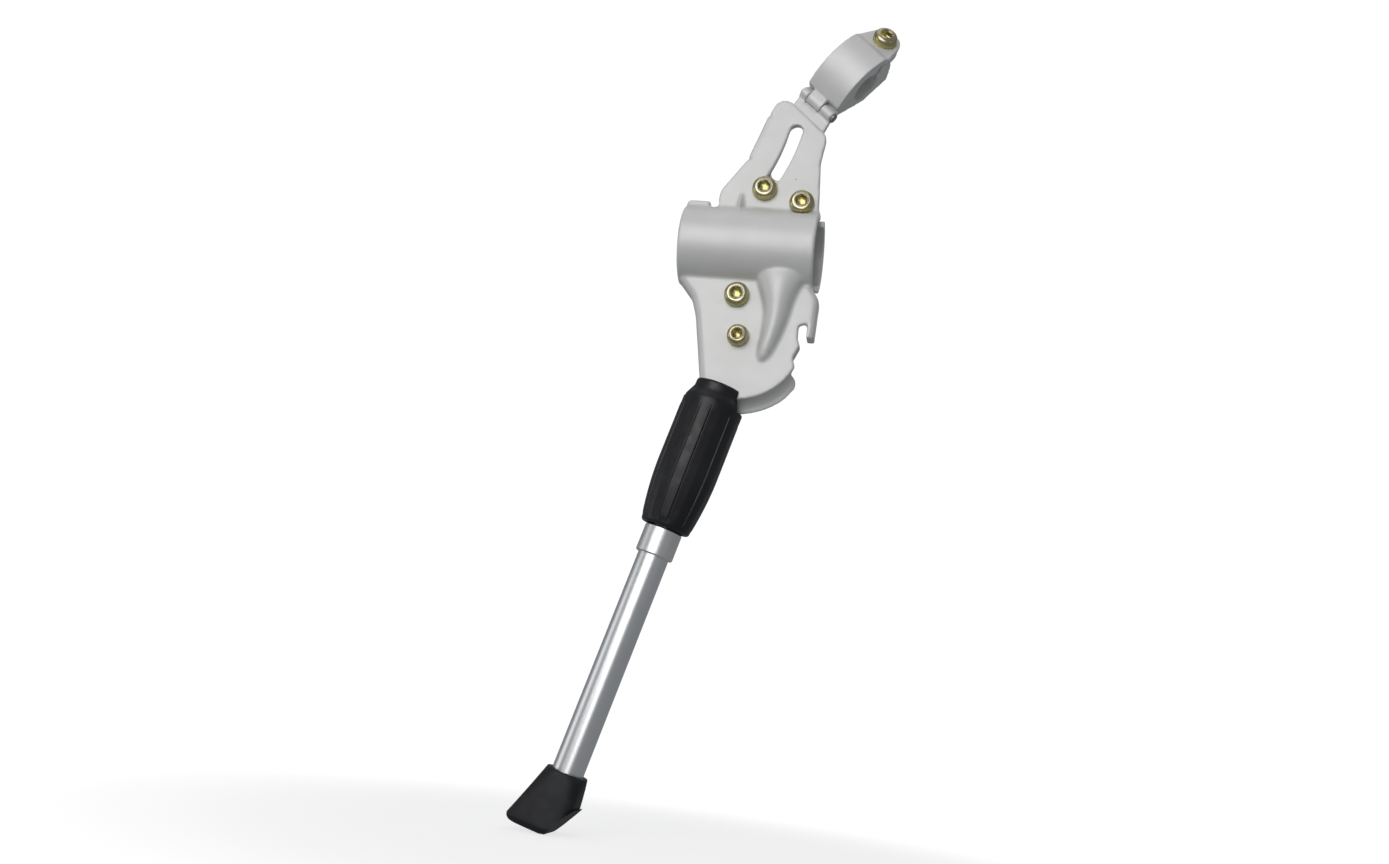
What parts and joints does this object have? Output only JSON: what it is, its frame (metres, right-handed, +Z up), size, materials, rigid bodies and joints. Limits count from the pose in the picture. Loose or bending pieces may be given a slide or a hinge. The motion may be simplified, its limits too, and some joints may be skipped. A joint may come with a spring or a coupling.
{
  "type": "rear-mount bicycle kickstand",
  "caption": "Rear-mount bicycle kickstand: cast bracket with chain-stay and seat-stay clamps, and a swinging leg with a sliding lock sleeve, telescopic tube and rubber foot.",
  "frame": {"origin": "middle of the chain-stay clamp, on the tube's axis", "axes": "+X to the rear of the bicycle along the chain stay, +Z up, -Y outboard"},
  "size_m": [0.1415, 0.0393, 0.409],
  "materials": {
    "cast_silver": "satin silver-grey paint on a die casting",
    "yellow_zinc": "yellow-passivated zinc, slightly iridescent",
    "black_rubber": "matte",
    "bronze": "sintered",
    "dark_steel": "dark oiled steel",
    "white_plastic": "natural acetal",
    "spring_steel": "drawn wire",
    "black_plastic": "satin moulded",
    "satin_aluminium": "satin anodised"
  },
  "bodies": {
    "bracket": {"main_bracket": "cast_silver", "chainstay_pad": "black_rubber", "clamp_bolts": "yellow_zinc", "pivot_bolt": "yellow_zinc", "pivot_bush": "bronze", "pivot_washer": "yellow_zinc", "pivot_nut": "yellow_zinc"},
    "rear_jaw": {"rear_jaw": "cast_silver"},
    "stay_arm": {"seat_stay_arm": "cast_silver", "slot_bolt": "yellow_zinc", "slot_nut": "yellow_zinc", "hinge_pin": "yellow_zinc"},
    "strap": {"clamp_strap": "cast_silver", "strap_bolt": "yellow_zinc"},
    "leg": {"leg_head": "dark_steel", "stem": "dark_steel", "stem_pin": "dark_steel", "spring_seat": "dark_steel", "stem_guide": "white_plastic", "sleeve_spring": "spring_steel"},
    "sleeve": {"lock_sleeve": "black_plastic"},
    "lower_leg": {"collar": "satin_aluminium", "snap_ring": "spring_steel", "leg_tube": "satin_aluminium", "rubber_foot": "black_rubber", "foot_plug": "black_plastic"}
  },
  "joints": [
    {"name": "jaw_slide", "type": "slide", "parent": "bracket", "child": "rear_jaw", "axis": [0, 1, 0], "range_m": [0, 0.006]},
    {"name": "arm_slide", "type": "hinge", "parent": "bracket", "child": "stay_arm", "pos_m": [-0.0813, -0.005, 0.0802], "axis": [0, -1, 0], "range_deg": [0, 20]},
    {"name": "strap_hinge", "type": "hinge", "parent": "stay_arm", "child": "strap", "pos_m": [0.02591, -0.005, 0.07914], "axis": [0.7547, 0, -0.6561], "range_deg": [0, 100]},
    {"name": "leg_swing", "type": "hinge", "parent": "bracket", "child": "leg", "pos_m": [0.0007, -0.0035, -0.0478], "axis": [0, -1, 0], "range_deg": [0, 86]},
    {"name": "sleeve_slide", "type": "slide", "parent": "leg", "child": "sleeve", "axis": [-0.2453, 0, -0.9694], "range_m": [0, 0.008], "stiffness_N_per_m": 700, "springref_m": -0.006, "deforming": ["sleeve_spring"]},
    {"name": "height_slide", "type": "slide", "parent": "leg", "child": "lower_leg", "axis": [-0.2453, 0, -0.9694], "range_m": [0, 0.04], "deforming": ["snap_ring"]}
  ]
}
